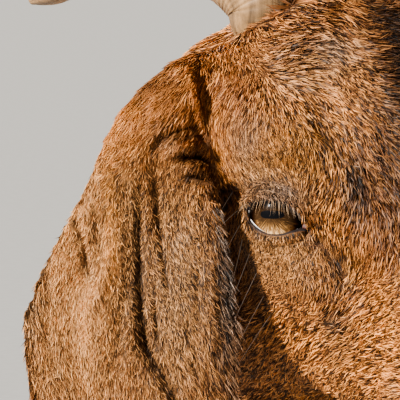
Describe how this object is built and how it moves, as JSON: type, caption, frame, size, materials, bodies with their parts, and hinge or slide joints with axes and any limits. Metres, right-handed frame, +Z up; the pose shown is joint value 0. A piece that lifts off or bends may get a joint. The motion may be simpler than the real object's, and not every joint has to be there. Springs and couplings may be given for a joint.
{
  "type": "boer goat",
  "caption": "Life-size standing boer goat doe with its head turned to its left, drooping ears, back-curved horns, a red-brown head and neck and a white body.",
  "frame": {"origin": "centre of the bounding box, on the floor under the four feet", "axes": "+Y towards the tail, so the goat faces -Y; +Z up; +X to the animal's left"},
  "size_m": [0.3904, 1.166, 1.0027],
  "materials": {
    "red_coat": "short flat hair, red-brown",
    "white_coat": "short flat hair, off-white",
    "horn": "ringed grey-buff horn",
    "claw": "dull dark claw horn",
    "eye": "wet amber eye with a level dark pupil",
    "udder_skin": "thin pink skin"
  },
  "bodies": {
    "root": {"head": "red_coat", "ear_left": "red_coat", "ear_right": "red_coat", "neck": "red_coat", "torso": "white_coat", "foreleg_left": "white_coat", "foreleg_right": "white_coat", "hindleg_left": "white_coat", "hindleg_right": "white_coat", "tail": "white_coat", "horn_left": "horn", "horn_right": "horn", "eye_left": "eye", "eye_right": "eye", "udder": "udder_skin", "claw_foreleg_left_inner": "claw", "claw_foreleg_left_outer": "claw", "claw_foreleg_right_inner": "claw", "claw_foreleg_right_outer": "claw", "claw_hindleg_left_inner": "claw", "claw_hindleg_left_outer": "claw", "claw_hindleg_right_inner": "claw", "claw_hindleg_right_outer": "claw", "dewclaw_foreleg_left_inner": "claw", "dewclaw_foreleg_left_outer": "claw", "dewclaw_foreleg_right_inner": "claw", "dewclaw_foreleg_right_outer": "claw", "dewclaw_hindleg_left_inner": "claw", "dewclaw_hindleg_left_outer": "claw", "dewclaw_hindleg_right_inner": "claw", "dewclaw_hindleg_right_outer": "claw"}
  },
  "joints": []
}
